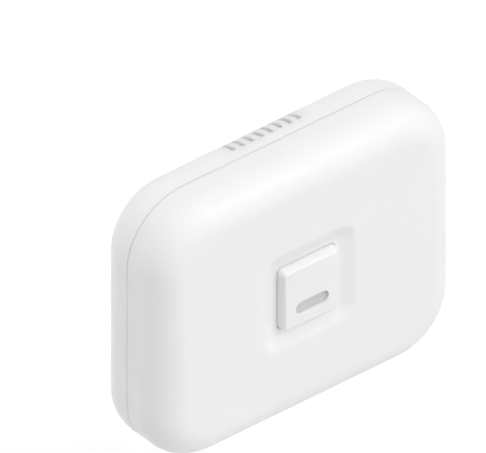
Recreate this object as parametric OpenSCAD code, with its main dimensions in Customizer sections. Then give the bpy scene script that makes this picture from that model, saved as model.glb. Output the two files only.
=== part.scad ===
// Smart infrared blaster: a battery powered bridge in a flat, softly rounded case.
// Millimetres. X runs to the right seen from the front, Y towards the wall, Z up.
// The origin lies on the flat back, midway between the two wall keyholes.

/* [Case] */
// Width of the case
body_w = 107; // [100:1:120]
// Height of the case
body_h = 85.4; // [80:0.2:100]
// Depth of the case from its back to its flat front
body_d = 26.1; // [25.6:0.1:32]
// Radius of the four corners seen from the front
corner_r = 19.7; // [18:0.1:24]
// Thickness of both shells
wall_t = 2; // [1.6:0.1:2.4]
// Depth of the rear shell, from the back to the parting line
parting_d = 11.4; // [10.6:0.1:12]
// Radius of the fillet round the front
front_r = 9.5; // [8:0.1:11]
// Radius of the rolled rear edge
roll_r = 10.4; // [9.6:0.1:12]
// Straight band between the parting line and the rolled rear edge
roll_band = 3.5; // [2.8:0.1:4]
// Width of the bevel where the rolled edge meets the flat back
back_edge_c = 0.7; // [0.4:0.1:1]

/* [Parting line] */
// Width of the groove that shows between the shells
seam_w = 0.3; // [0.2:0.05:0.5]
// Height of the lip that the rear shell holds inside the front shell
lip_h = 1.5; // [1:0.1:1.6]
// Thickness of the lip
lip_t = 0.9; // [0.7:0.05:1]
// Clearance round the lip
lip_gap = 0.1; // [0.05:0.05:0.2]

/* [Front dish] */
// Width and height of the square dish round the button
dish_w = 33.6; // [31:0.1:36]
// Depth of the dish below the front
dish_depth = 2; // [1.4:0.1:2.2]
// Width of the soft slope round the dish
dish_slope_w = 5.2; // [4:0.1:5.6]
// Corner radius of the dish at the front face
dish_corner_r = 6; // [5.7:0.1:8]
// Thickness of the stiffening ribs behind the front
rib_t = 1; // [0.8:0.1:1.2]
// How far the ribs stand out of the front's inner face
rib_h = 0.8; // [0.5:0.1:0.8]
// Thickness of the floor of the dish
dish_floor_t = 1.6; // [1.2:0.1:1.8]

/* [Button] */
// Width and height of the button where it leaves the dish
button_w = 20.4; // [19:0.1:21]
// How far the button stands proud of the front
button_proud = 0.9; // [0.6:0.1:1.4]
// Corner radius of the button at its foot
button_corner_r = 2.2; // [2:0.1:3]
// Radius round the edge of the button's face
button_edge_r = 1; // [0.5:0.1:1.2]
// Draft of the button's sides in degrees
button_draft_a = 14; // [8:1:15]
// Thickness of the button's walls and face
button_wall_t = 1.3; // [1:0.1:1.5]
// Clearance between the button and its hole
button_gap = 0.25; // [0.15:0.05:0.35]
// How far the retaining flange reaches under the dish
flange_w = 1; // [0.7:0.1:1.3]
// Thickness of the retaining flange
flange_t = 0.9; // [0.7:0.1:1]
// Clearance between the flange and the dish
flange_gap = 0.2; // [0.1:0.05:0.3]

/* [Status window] */
// Length of the pill-shaped window in the button
window_l = 11.4; // [10:0.1:12.4]
// Height of the window
window_h = 3.8; // [3:0.1:4.2]
// How far the window lies below the middle of the button
window_drop = 3.3; // [3.2:0.1:4]
// How deep the lens lies below the face of the button
window_recess = 0.6; // [0.3:0.1:0.8]
// Clearance round the lens
lens_gap = 0.05; // [0.03:0.01:0.1]
// How far the shoulder of the lens reaches behind the button's face
lens_shoulder_w = 0.8; // [0.5:0.1:0.9]
// Thickness of the shoulder
lens_shoulder_t = 0.8; // [0.5:0.1:1]
// Length of the light pipe's foot along the window
pipe_l = 4; // [3:0.1:5]
// Height of the light pipe's foot
pipe_h = 2; // [1.6:0.1:2.2]
// Space between the light pipe and the light-emitting diode
pipe_gap = 0.9; // [0.7:0.1:1.2]
// Length of the light-emitting diode
led_l = 3.2; // [2:0.1:3.6]
// Width of the light-emitting diode
led_w = 1.6; // [1.2:0.1:1.8]
// Thickness of the light-emitting diode
led_t = 0.8; // [0.5:0.1:1]

/* [Push switch] */
// Width of the square switch under the button
switch_w = 6.2; // [5.8:0.1:6.4]
// Height of the switch body
switch_h = 3.5; // [3.2:0.1:3.8]
// Corner radius of the switch body
switch_corner_r = 0.5; // [0.3:0.1:0.8]
// How far the switch lies above the middle of the button
switch_rise = 3.6; // [3.4:0.1:4]
// Radius of the switch plunger
plunger_r = 1.7; // [1.4:0.1:1.8]
// How far the plunger stands out of the switch
plunger_h = 1.2; // [1:0.1:1.3]
// How deep the plunger reaches into the switch
plunger_root = 1.4; // [1.2:0.1:2]
// Running clearance round the plunger
plunger_gap = 0.08; // [0.05:0.01:0.1]
// Space between the button's pip and the plunger
press_gap = 0.05; // [0.03:0.01:0.1]
// Extra room under the plunger beyond its travel
plunger_room = 0.7; // [0.6:0.1:1]

/* [Vents] */
// Number of cooling slots in the top
vent_count = 8; // [6:1:9]
// Distance from slot to slot
vent_pitch = 3.37; // [3:0.01:3.6]
// Width of a slot
vent_w = 1.4; // [1.1:0.1:1.7]
// Distance from the parting line to the slots
vent_setback = 4; // [3.6:0.1:4.4]
// Length of a slot seen from above
vent_run = 5.2; // [4.6:0.1:5.3]

/* [Batteries] */
// Number of cells lying side by side
cell_count = 3; // [3:1:3]
// Distance of the battery bay from either side of the case
bay_in = 25; // [24.5:0.1:26]
// Radius of the positive nub
nub_r = 2.75; // [2.4:0.05:3]
// Height of the positive nub
nub_h = 1.2; // [1:0.1:1.4]
// Radius round the ends of the can
cell_edge_r = 0.6; // [0.4:0.1:0.8]
// Space between neighbouring cells
cell_gap = 0.4; // [0.3:0.1:0.8]
// Space between a cell and its trough or the door
trough_gap = 0.3; // [0.2:0.05:0.35]
// Thickness of the battery bay's walls
bay_wall_t = 1.5; // [1.2:0.1:1.8]
// Thickness of the battery bay's floor
bay_floor_t = 1.2; // [1:0.1:1.5]

/* [Battery contacts] */
// Thickness of the contact plates
contact_t = 0.4; // [0.3:0.05:0.5]
// Width of a contact pad as a share of the cell's diameter
contact_w_share = 0.66; // [0.55:0.01:0.7]
// Height of a contact pad across the case as a share of the cell's diameter
contact_h_share = 0.6; // [0.5:0.01:0.62]
// Width of the solder tails
tail_w = 1.8; // [1.4:0.1:2.4]
// Clearance round the solder tails
tail_gap = 0.2; // [0.15:0.05:0.3]
// How far the solder tails stand out of the board
tail_out = 0.6; // [0.3:0.1:0.8]
// Length of a compressed battery spring
spring_l = 5.7; // [5.3:0.1:6.2]
// Radius of a spring's foot as a share of half the height of its pad
spring_foot_share = 0.83; // [0.75:0.01:0.88]
// Radius of a spring's tip as a share of the radius of its foot
spring_tip_share = 0.72; // [0.65:0.01:0.85]
// Radius of the spring wire
spring_wire_r = 0.35; // [0.3:0.01:0.38]
// Number of turns of a spring
spring_turns = 4; // [3:1:4]

/* [Battery door] */
// Thickness of the door
door_t = 1.8; // [1.5:0.1:2]
// Width of the ledge that the door rests on
door_ledge_w = 1.3; // [1:0.1:1.6]
// Thickness of the ledge
ledge_t = 1.5; // [1.2:0.1:1.8]
// Clearance round the door
door_gap = 0.2; // [0.15:0.05:0.3]
// Corner radius of the door
door_corner_r = 2.5; // [1.5:0.1:3]
// Width of the two hooks at the foot of the door
hook_w = 8; // [6:0.1:10]
// Distance from either end of the door to the middle of its hook
hook_in = 11.6; // [8:0.1:12]
// Thickness of the hooks
hook_t = 1.1; // [0.9:0.1:1.2]
// How far the hooks reach under the back
hook_reach = 2.2; // [1.8:0.1:2.4]
// Clearance between the hooks and the case
hook_gap = 0.3; // [0.25:0.05:0.4]
// Length of the latch tongue in the door
latch_l = 8; // [7:0.1:9]
// Width of the latch tongue
latch_w = 12; // [10:0.1:14]
// Width of the slots beside the tongue
latch_slot_w = 0.8; // [0.6:0.1:1]
// Depth of the thumb hollow in the tongue
thumb_depth = 0.7; // [0.5:0.1:0.8]
// Number of ridges across the thumb hollow
ridge_count = 3; // [2:1:4]
// Distance from ridge to ridge
ridge_pitch = 1.4; // [1.2:0.1:1.5]
// Width of a ridge
ridge_w = 0.5; // [0.4:0.1:0.6]
// Length of the polarity marks sunk into the inner face of the door
mark_l = 4; // [3:0.1:4.4]
// Width of the marks' strokes
mark_w = 0.8; // [0.6:0.1:1]
// Depth of the marks
mark_depth = 0.3; // [0.2:0.05:0.4]
// Distance of the marks from the ends of the battery bay
mark_in = 7; // [6:0.1:8]
// How far the latch's nose stands towards the rim
nose_reach = 0.15; // [0.1:0.01:0.15]
// Radius of the latch's nose
nose_r = 0.5; // [0.4:0.05:0.6]
// Height of the thumb hollow along the tongue
thumb_l = 5.6; // [5:0.1:6]

/* [Wall keyholes] */
// Distance of a keyhole from the side of the case
keyhole_in = 13.5; // [12:0.1:14]
// Radius of the round hole that takes a screw head
keyhole_head_r = 4; // [3.6:0.1:4.3]
// Radius of the narrow slot that holds the shank
keyhole_slot_r = 2.1; // [1.8:0.1:2.4]
// How far the slot rises above the round hole
keyhole_rise = 7; // [6:0.1:8]
// Depth of the pocket behind a keyhole, from the back
pocket_depth = 6; // [5.5:0.1:7]
// Thickness of the pocket's walls
pocket_t = 1.2; // [1:0.1:1.5]
// Clearance between the pocket and a screw head
pocket_gap = 0.3; // [0.2:0.05:0.4]

/* [Case screws] */
// Distance of the case screws from the middle of each corner's radius
boss_out = 11.5; // [11:0.1:11.9]
// Radius of the screw shanks
case_screw_r = 1.3; // [1.1:0.05:1.4]
// Length of the screw shanks
case_screw_l = 10; // [8:0.1:11]
// Radius of the screw heads
case_head_r = 2.4; // [2.1:0.1:2.5]
// Height of the screw heads
case_head_h = 1.8; // [1.5:0.1:2]
// Depth of the counterbores in the back
counterbore_depth = 5.4; // [5:0.1:6]
// Clearance round a screw head
head_gap = 0.5; // [0.3:0.1:0.5]
// Thickness of plastic under a screw head
seat_t = 2; // [1.6:0.1:2.4]
// Thickness of plastic round a screw
boss_t = 1.9; // [1.5:0.1:2]
// Radial clearance of a screw in its hole
screw_gap = 0.05; // [0.03:0.01:0.08]
// Radial clearance of a screw where it passes freely
pass_gap = 0.2; // [0.15:0.05:0.3]
// Depth of the cross recess in a screw head
cross_depth = 0.8; // [0.6:0.1:1]
// Width of the cross recess
cross_w = 0.7; // [0.5:0.1:0.8]
// Length of the cross recess as a share of the head's radius
cross_share = 1.2; // [1:0.1:1.3]

/* [Circuit board] */
// Thickness of the board
board_t = 1.6; // [1.2:0.1:1.7]
// Space between the battery bay and the board
board_gap = 0.5; // [0.4:0.1:0.7]
// Distance of the board's front behind the flat front of the case
board_depth = 5.9; // [5.8:0.1:6.2]
// Space between the board and the case
board_edge_gap = 0.6; // [0.4:0.1:1]
// Radius of the bites in the board's corners
bite_r = 6; // [5.5:0.1:6.5]
// Distance of the board screws from the side of the case
board_screw_in = 8.5; // [8:0.1:9]
// Height of the board screws above and below the middle
board_screw_y = 15; // [13:0.5:17]
// Radius of the board screws
board_screw_r = 1; // [0.9:0.05:1.1]
// Length of the board screws under the head
board_screw_l = 4.2; // [3.6:0.1:4.6]
// Radius of the board screw heads
board_head_r = 1.9; // [1.7:0.1:2.1]
// Height of the board screw heads
board_head_h = 1.2; // [1:0.1:1.4]
// Thickness of plastic round a board screw
standoff_t = 1.6; // [1.3:0.1:1.8]

/* [Power socket] */
// Width of the socket
usb_w = 7.5; // [7.3:0.1:7.9]
// Height of the socket
usb_h = 2.6; // [2.5:0.1:2.8]
// Length of the socket
usb_l = 5.6; // [5.2:0.1:6]
// Thickness of the socket's metal
usb_metal_t = 0.3; // [0.2:0.05:0.35]
// Width of the bevels on the socket's lower corners
usb_bevel = 0.8; // [0.6:0.1:1]
// Distance of the socket to the right of the middle
usb_x = 15; // [13:0.5:18]
// How deep the socket lies below the outer surface
usb_recess = 1; // [0.7:0.1:1.2]
// Clearance round the socket in the wall
usb_gap = 0.35; // [0.25:0.05:0.5]
// Depth of the mouth of the socket
usb_mouth_l = 4.6; // [4.2:0.1:4.8]
// Thickness of the tongue inside the socket
usb_tongue_t = 0.6; // [0.5:0.1:0.7]

/* [Emitter jack] */
// Radius of the jack's bore
jack_bore_r = 1.8; // [1.76:0.01:1.9]
// Depth of the jack's bore
jack_bore_l = 12; // [11:0.1:12.5]
// Radius of the jack's collar
jack_collar_r = 2.5; // [2.3:0.05:2.6]
// Width of the jack's body
jack_w = 6.4; // [6:0.1:7]
// Depth of the jack's body across the case
jack_h = 5.2; // [5.1:0.05:5.3]
// Length of the jack's body
jack_l = 11.8; // [11.4:0.1:12.2]
// Distance of the jack from the left side of the case
jack_in = 19.9; // [19.8:0.1:20]
// Clearance round the collar in the wall
jack_gap = 0.2; // [0.15:0.05:0.3]
// How deep the collar's end lies below the outer surface
jack_recess = 0.3; // [0.2:0.1:0.6]

/* [Infrared parts] */
// Radius of an infrared emitter
ir_r = 1.5; // [1.4:0.05:1.55]
// Length of an emitter's straight part
ir_l = 3.4; // [3:0.1:3.8]
// Thickness of an emitter's rim
ir_rim_t = 0.8; // [0.6:0.1:1]
// How far the rim stands out
ir_rim_w = 0.2; // [0.1:0.05:0.25]
// Length of an emitter's leads
ir_lead_l = 2.4; // [2:0.1:3]
// Radius of an emitter's leads
ir_lead_r = 0.25; // [0.2:0.01:0.3]
// Distance from lead to lead
ir_lead_pitch = 1.6; // [1.4:0.1:1.8]
// Space between an emitter and the front shell
ir_gap = 0.7; // [0.5:0.1:1]
// Space between an emitter's rim and the board
ir_lift = 0.1; // [0.05:0.05:0.2]
// Distance of the upper emitters from the sides of the case
ir_top_in = 27.5; // [26.5:0.5:29]
// Place of the side emitters below the middle
ir_side_drop = 9.7; // [9.5:0.1:9.9]
// Width of the learning receiver
receiver_w = 6.8; // [6:0.1:7.4]
// Height of the learning receiver
receiver_h = 5.2; // [4.6:0.1:5.6]
// Thickness of the learning receiver
receiver_t = 2.2; // [1.8:0.1:2.4]
// Radius of the receiver's lens
receiver_lens_r = 1.9; // [1.6:0.1:2.2]
// How far the receiver's lens bulges
receiver_bulge = 0.8; // [0.6:0.1:1]

/* [Electronics] */
// Width of the radio module
radio_w = 15; // [14:0.5:16]
// Height of the radio module
radio_h = 20; // [18:0.5:22]
// Thickness of the radio module's board
radio_t = 0.8; // [0.6:0.1:1]
// Distance of the radio module's middle from the side of the case
radio_in = 21.5; // [21:0.5:22]
// Space between the solder tails and the radio module
radio_gap = 1; // [0.6:0.1:1.5]
// Width of the shield can's margin on the module
shield_margin = 1; // [0.8:0.1:1.4]
// Height of the shield can
shield_h = 1.9; // [1.6:0.1:2.1]
// Thickness of the shield can
shield_t = 0.2; // [0.15:0.05:0.3]
// Share of the module that the shield covers
shield_share = 0.7; // [0.6:0.05:0.8]
// Radius of the aerial wire
aerial_r = 0.4; // [0.3:0.05:0.5]
// Radius of the bends in the aerial wire
aerial_bend_r = 2; // [1.6:0.1:2.4]
// Space between the aerial and the leads of the upper emitters
aerial_gap = 1.5; // [1:0.1:2]
// Run of the aerial towards the middle
aerial_run = 16; // [14:0.5:18]
// Width of the microcontroller
chip_w = 10; // [9:0.5:10.5]
// Thickness of the microcontroller
chip_t = 1.4; // [1.2:0.1:1.6]
// Number of leads on each side of the microcontroller
chip_leads = 10; // [8:1:11]
// Distance from lead to lead on a chip
lead_pitch = 0.8; // [0.7:0.05:0.85]
// Width of a chip's lead
lead_w = 0.35; // [0.3:0.05:0.4]
// How far a chip's leads stand out
lead_l = 1; // [0.8:0.1:1.2]
// Thickness of a chip's lead
lead_t = 0.2; // [0.15:0.05:0.25]
// Distance of the chips' middle from the left side of the case
chip_in = 22.5; // [22:0.5:23.5]
// Height of the microcontroller above the middle
chip_y = 5; // [4:0.5:6]
// Width of the memory chip
memory_w = 5; // [4.6:0.1:5.4]
// Length of the memory chip
memory_l = 4; // [3.6:0.1:4.4]
// Space between the solder tails and the memory chip
memory_gap = 1.2; // [0.8:0.1:1.6]
// Length of the crystal
crystal_l = 5; // [4.6:0.1:5.4]
// Width of the crystal
crystal_w = 3.2; // [3:0.1:3.4]
// Thickness of the crystal
crystal_t = 1.2; // [1:0.1:1.4]
// Height of the crystal above the middle
crystal_y = 17; // [16:0.5:18]
// Width of the voltage regulator
regulator_w = 6.5; // [6:0.1:6.9]
// Length of the voltage regulator
regulator_l = 3.5; // [3.2:0.1:3.8]
// Thickness of the voltage regulator
regulator_t = 1.6; // [1.4:0.1:1.8]
// Distance of the regulator below the middle
regulator_y = 17; // [16:0.5:18]
// Width of the inductor
inductor_w = 6; // [5.6:0.1:6.4]
// Thickness of the inductor
inductor_t = 2.8; // [2.4:0.1:3]
// Distance of the inductor and the receiver from the bottom of the case
inductor_up = 15.7; // [15:0.1:16.5]
// Distance of the inductor and the receiver from the sides of the case
inductor_in = 29.5; // [28.5:0.5:30.5]
// Length of the small resistors and capacitors
chip_part_l = 1.6; // [1.4:0.1:2]
// Width of the small resistors and capacitors
chip_part_w = 0.8; // [0.6:0.1:1]
// Thickness of the small resistors and capacitors
chip_part_t = 0.5; // [0.4:0.05:0.6]
// Number of them in a row
chip_part_count = 7; // [5:1:8]
// Distance between neighbours in a row
chip_part_pitch = 2.6; // [2.4:0.1:2.8]
// Distance of a row from the chip or module that it serves
chip_part_gap = 2.4; // [1.6:0.1:2.6]
// Radius of the storage capacitors
capacitor_r = 4; // [3.6:0.1:4.1]
// Height of the storage capacitors
capacitor_h = 9; // [8:0.1:10]
// Distance of the capacitors from the middle
capacitor_x = 18; // [17:0.5:20]
// Depth of the crimped groove round a capacitor
crimp_depth = 0.4; // [0.3:0.05:0.5]
// Radius of the temperature bead
bead_r = 1.3; // [1.1:0.1:1.5]
// Distance of the bead in front of the vents
bead_lead = 1.6; // [1:0.1:2]
// Distance of the bead below the top of the case
bead_in = 7.7; // [7.2:0.1:8.5]
// Radius of the bead's leads
bead_lead_r = 0.25; // [0.2:0.01:0.3]
// Distance between the bead's leads
bead_lead_pitch = 1.2; // [1:0.1:1.4]

/* [Hidden] */
$fn = 72;
// How far a cut runs past the surface that it opens
over = 1;
case_white = [0.94, 0.94, 0.93];
metal_grey = [0.78, 0.78, 0.76];
plastic_black = [0.13, 0.13, 0.14];

// Middles of the corner radii
corner_x = body_w / 2 - corner_r;
corner_y = body_h / 2 - corner_r;
// Depth of the centre of the rolled edge and of the front fillet
roll_d = parting_d - roll_band;
fillet_d = body_d - front_r;
inner_front_d = body_d - wall_t;
// Cells, as thick and long as the depth and width of the case leave room for
cell_r = (body_d - board_depth - board_t - board_gap - bay_floor_t - door_t) / 2 - trough_gap;
cell_l = body_w - 2 * bay_in - spring_l - 2 * contact_t;
// Battery bay
cell_pitch = 2 * cell_r + cell_gap;
cell_d = door_t + trough_gap + cell_r;
trough_r = cell_r + trough_gap;
bay_l = cell_l + spring_l + 2 * contact_t;
bay_h = (cell_count - 1) * cell_pitch + 2 * trough_r;
bay_end_d = cell_d + trough_r + bay_floor_t;
recess_l = bay_l + 2 * door_ledge_w;
recess_h = bay_h + 2 * door_ledge_w;
door_l = recess_l - 2 * door_gap;
door_h = recess_h - 2 * door_gap;
ledge_d = door_t + ledge_t;
hook_end_d = wall_t + hook_gap + hook_t;
hook_turn_r = sqrt(hook_reach * hook_reach + hook_end_d * hook_end_d);
contact_w = 2 * cell_r * contact_w_share;
contact_h = 2 * cell_r * contact_h_share;
spring_foot_r = contact_h / 2 * spring_foot_share;
spring_tip_r = spring_foot_r * spring_tip_share;
hook_x = door_l / 2 - hook_in;
keyhole_x = body_w / 2 - keyhole_in;
// Circuit board
board_back_d = bay_end_d + board_gap;
board_front_d = board_back_d + board_t;
board_inset = inner_inset(board_front_d) + board_edge_gap;
// Dish and button
dish_d = body_d - dish_depth;
dish_inner_d = dish_d - dish_floor_t;
dish_a = 2 * atan(dish_depth / dish_slope_w);
dish_arc_r = dish_slope_w / sin(dish_a) / 2;
dish_pad_w = dish_w - 2 * dish_slope_w / 3;
face_d = body_d + button_proud;
cap_inner_d = face_d - button_wall_t;
flange_d = dish_inner_d - flange_gap - flange_t;
plunger_top_d = board_front_d + switch_h + plunger_h;
// Case screws and board screws
boss_x = corner_x + boss_out / sqrt(2);
boss_y = corner_y + boss_out / sqrt(2);
sleeve_end_d = counterbore_depth + seat_t;
boss_r = case_screw_r + boss_t;
sleeve_r = case_head_r + head_gap + pocket_t;
board_screw_x = body_w / 2 - board_screw_in;
// Sockets on the bottom edge, measured down from the middle
jack_x = body_w / 2 - jack_in;
jack_d = board_back_d - jack_h / 2;
jack_end_y = body_h / 2 - jack_recess;
jack_body_y = body_h / 2 - wall_t - jack_gap;
usb_end_y = body_h / 2 - usb_recess;
// Infrared emitters
ir_d = board_front_d + ir_lift + ir_rim_w + ir_r;
ir_reach = inner_inset(ir_d + ir_r) + ir_gap;
ir_back = ir_reach + ir_r + ir_l + ir_lead_l + ir_lead_r;
ir_top_x = body_w / 2 - ir_top_in;
// Places of the electronics
radio_x = body_w / 2 - radio_in;
radio_y = cell_y(0) - tail_w / 2 - radio_gap - radio_h / 2;
chip_x = body_w / 2 - chip_in;
memory_y = cell_y(0) - tail_w / 2 - memory_gap - memory_l / 2;
inductor_x = body_w / 2 - inductor_in;
inductor_y = body_h / 2 - inductor_up;
capacitor_y = (bay_h / 2 + bay_wall_t + body_h / 2 - wall_t) / 2;
bead_y = body_h / 2 - bead_in;
bead_d = parting_d - vent_setback + bead_lead;
rings_per_turn = 8;
wire_sides = 6;

// Distance from the outer side of the case to its inner wall at depth d in the front shell
function inner_inset(d) =
    let (r = front_r - wall_t, past = max(0, d - fillet_d))
    wall_t + r - sqrt(max(0, r * r - past * past));

// Place of cell i, counted from the top, above the middle
function cell_y(i) = ((cell_count - 1) / 2 - i) * cell_pitch;

// Stands a form drawn flat, with its depth upwards, on the wall behind the case
module stand() {
    rotate([90, 0, 0]) children();
}

// Rounded rectangle from squares and true circles
module round_rect(w, h, r) {
    square([w - 2 * r, h], center = true);
    square([w, h - 2 * r], center = true);
    for (sx = [-1, 1], sy = [-1, 1])
        translate([sx * (w / 2 - r), sy * (h / 2 - r)])
            circle(r);
}

module round_plate(w, h, r, d0, d1) {
    translate([0, 0, d0])
        linear_extrude(d1 - d0)
            round_rect(w, h, r);
}

// Pill outline, l long and h high
module pill(l, h) {
    square([l - h, h], center = true);
    for (s = [-1, 1])
        translate([s * (l - h) / 2, 0])
            circle(h / 2);
}

// Slab with rounded corners whose edge follows a profile all round. The profile is the
// child, drawn in (distance out from a corner's middle, depth) and starting at zero.
module edged_slab(cx, cy, d0, d1) {
    for (mx = [0, 1], my = [0, 1])
        mirror([mx, 0, 0])
            mirror([0, my, 0])
                translate([cx, cy, 0])
                    rotate_extrude(angle = 90)
                        children();
    for (m = [0, 1]) {
        mirror([m, 0, 0])
            translate([cx, cy, 0])
                rotate([90, 0, 0])
                    linear_extrude(2 * cy)
                        children();
        mirror([0, m, 0])
            translate([-cx, cy, 0])
                rotate([90, 0, 90])
                    linear_extrude(2 * cx)
                        children();
    }
    translate([-cx, -cy, d0])
        cube([2 * cx, 2 * cy, d1 - d0]);
}

// Edge of the rear shell, drawn inwards by t and cut off at depth d1, with a bevel
// where the rolled edge meets the flat back
module rear_profile(t, d1) {
    arc_x = corner_r - roll_r;
    flat_x = arc_x + sqrt(roll_r * roll_r - roll_d * roll_d) - back_edge_c;
    bevel_a = acos(roll_d / roll_r) / 2;
    bevel_x = flat_x + roll_r * cos(bevel_a);
    translate([0, roll_d])
        square([corner_r - t, d1 - roll_d]);
    difference() {
        intersection() {
            translate([arc_x, roll_d])
                circle(roll_r - t);
            translate([0, t])
                square([corner_r, roll_d - t]);
        }
        if (t == 0)
            polygon([[flat_x, -over], [flat_x, 0], [bevel_x, roll_r * sin(bevel_a)],
                [bevel_x, -over]]);
    }
    translate([0, t])
        square([arc_x, roll_d - t]);
}

// Edge of the front shell from depth d0, drawn inwards by t
module front_profile(t, d0) {
    translate([0, d0])
        square([corner_r - t, fillet_d - d0]);
    intersection() {
        translate([corner_r - front_r, fillet_d])
            circle(front_r - t);
        translate([0, fillet_d])
            square([corner_r, front_r]);
    }
    translate([0, fillet_d])
        square([corner_r - front_r, front_r - t]);
}

// Edge of the hollow that forms the dish: a rounded shoulder that turns into a
// rounded foot, drawn from above the front down to the floor
module dish_profile() {
    foot_x = dish_corner_r - dish_slope_w;
    turn_x = dish_corner_r - dish_slope_w / 2;
    turn_d = body_d - dish_depth / 2;
    difference() {
        union() {
            polygon([[0, body_d + over], [dish_corner_r, body_d + over],
                [dish_corner_r, body_d], [turn_x, turn_d], [foot_x, dish_d], [0, dish_d]]);
            intersection() {
                translate([foot_x, dish_d + dish_arc_r])
                    circle(dish_arc_r);
                translate([foot_x, dish_d])
                    square([turn_x - foot_x, turn_d - dish_d]);
            }
        }
        intersection() {
            translate([dish_corner_r, body_d - dish_arc_r])
                circle(dish_arc_r);
            translate([turn_x, turn_d])
                square([dish_corner_r - turn_x, body_d - turn_d]);
        }
    }
}

// Keyhole seen from the back, with its slot rising from the round hole
module keyhole(head_r, slot_r) {
    circle(head_r);
    translate([-slot_r, 0])
        square([2 * slot_r, keyhole_rise]);
    translate([0, keyhole_rise])
        circle(slot_r);
}

// Places its children at both keyholes
module at_keyholes() {
    for (s = [-1, 1])
        translate([s * keyhole_x, 0, 0])
            children();
}

// Places its children at the four case screws
module at_case_screws() {
    for (sx = [-1, 1], sy = [-1, 1])
        translate([sx * boss_x, sy * boss_y, 0])
            children();
}

// Places its children at the four board screws
module at_board_screws() {
    for (sx = [-1, 1], sy = [-1, 1])
        translate([sx * board_screw_x, sy * board_screw_y, 0])
            children();
}

// Cylinder between two depths
module disc(r, d0, d1) {
    translate([0, 0, d0])
        cylinder(r = r, h = d1 - d0);
}

// Block centred on its place, between two depths
module block(w, h, d0, d1) {
    translate([-w / 2, -h / 2, d0])
        cube([w, h, d1 - d0]);
}

// Row of cooling slots, cut straight down through the rolled top edge
module vents() {
    back_d = parting_d - vent_setback - vent_run;
    fall = roll_r - sqrt(pow(roll_r - wall_t, 2) - pow(roll_d - wall_t, 2));
    for (i = [0 : vent_count - 1])
        translate([(i - (vent_count - 1) / 2) * vent_pitch, body_h / 2 + over,
            back_d + vent_run / 2])
            rotate([90, 0, 0])
                linear_extrude(fall + over)
                    rotate(90)
                        pill(vent_run, vent_w);
}

// Extrudes an outline drawn in (height, depth) to the length l along X, centred
module bar(l) {
    translate([-l / 2, 0, 0])
        rotate([90, 0, 90])
            linear_extrude(l)
                children();
}

// Places its children at the door's foot, at both hooks
module at_hooks() {
    for (s = [-1, 1])
        translate([s * hook_x, -door_h / 2, 0])
            children();
}

// Places its children at the two solder tails
module at_tails() {
    for (s = [-1, 1])
        translate([s * (bay_l - contact_t) / 2, s * cell_y(0), 0])
            children();
}

// Walls of the battery bay, with the ledge for the door
module bay_walls() {
    round_plate(recess_l + 2 * bay_wall_t, recess_h + 2 * bay_wall_t,
        door_corner_r + bay_wall_t, 0, ledge_d);
    round_plate(bay_l + 2 * bay_wall_t, bay_h + 2 * bay_wall_t, bay_wall_t, 0, bay_end_d);
}

// Everything that the battery bay leaves open: the door's recess, the bay with one
// trough a cell, the ways for the solder tails and the ways for the door's hooks
module bay_hollow() {
    hook_low = -hook_reach - hook_gap;
    hook_top = (door_h - bay_h) / 2 + over;
    hook_deep = hook_turn_r + hook_gap;
    round_plate(recess_l, recess_h, door_corner_r + door_gap, -over, door_t);
    block(bay_l, bay_h, -over, cell_d);
    for (i = [0 : cell_count - 1])
        translate([-bay_l / 2, cell_y(i), cell_d])
            rotate([0, 90, 0])
                cylinder(r = trough_r, h = bay_l);
    at_tails()
        block(contact_t + 2 * tail_gap, tail_w + 2 * tail_gap, cell_d, bay_end_d + over);
    at_hooks()
        bar(hook_w + 2 * hook_gap)
            polygon([[hook_low, wall_t], [-door_gap, wall_t], [-door_gap, door_t],
                [hook_top, door_t], [hook_top, hook_deep], [hook_low, hook_deep]]);
}

// Ways through the bottom edge for the power socket and the emitter jack
module socket_holes() {
    translate([-jack_x, -body_h / 2 - over, jack_d])
        rotate([-90, 0, 0])
            cylinder(r = jack_collar_r + jack_gap, h = wall_t + 2 * over);
    translate([usb_x, -body_h / 2 + wall_t + over, board_back_d - usb_h / 2])
        rotate([90, 0, 0])
            linear_extrude(wall_t + 2 * over)
                round_rect(usb_w + 2 * usb_gap, usb_h + 2 * usb_gap, usb_bevel);
}

// Rear half of the case: rolled edge, vents, keyholes, battery bay and screw sleeves
module rear_shell() {
    pocket_r = keyhole_head_r + pocket_gap;
    rim_d = parting_d - seam_w / 2;
    lip_in = wall_t - lip_t;
    color(case_white)
        stand()
            difference() {
                union() {
                    difference() {
                        union() {
                            edged_slab(corner_x, corner_y, 0, rim_d)
                                rear_profile(0, rim_d);
                            round_plate(body_w - 2 * lip_in, body_h - 2 * lip_in,
                                corner_r - lip_in, roll_d, parting_d + lip_h);
                        }
                        edged_slab(corner_x, corner_y, wall_t, parting_d + lip_h + over)
                            rear_profile(wall_t, parting_d + lip_h + over);
                    }
                    bay_walls();
                    at_case_screws()
                        disc(sleeve_r, 0, sleeve_end_d);
                    at_keyholes()
                        linear_extrude(pocket_depth + pocket_t)
                            keyhole(pocket_r + pocket_t, pocket_r + pocket_t);
                }
                bay_hollow();
                at_case_screws() {
                    disc(case_head_r + head_gap, -over, counterbore_depth);
                    disc(case_screw_r + pass_gap, 0, sleeve_end_d + over);
                }
                at_keyholes() {
                    translate([0, 0, -over])
                        linear_extrude(pocket_depth)
                            keyhole(keyhole_head_r, keyhole_slot_r);
                    translate([0, 0, wall_t])
                        linear_extrude(pocket_depth - wall_t)
                            keyhole(pocket_r, pocket_r);
                }
                vents();
                socket_holes();
            }
}

// Stiffening ribs that run from the dish to the fillet behind the front
module front_ribs() {
    rib_in = (dish_pad_w - rib_t) / 2;
    for (s = [-1, 1]) {
        translate([s * rib_in, 0, 0])
            block(rib_t, body_h - 2 * front_r, inner_front_d - rib_h, inner_front_d + wall_t / 2);
        translate([0, s * rib_in, 0])
            block(body_w - 2 * front_r, rib_t, inner_front_d - rib_h, inner_front_d + wall_t / 2);
    }
}

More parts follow.
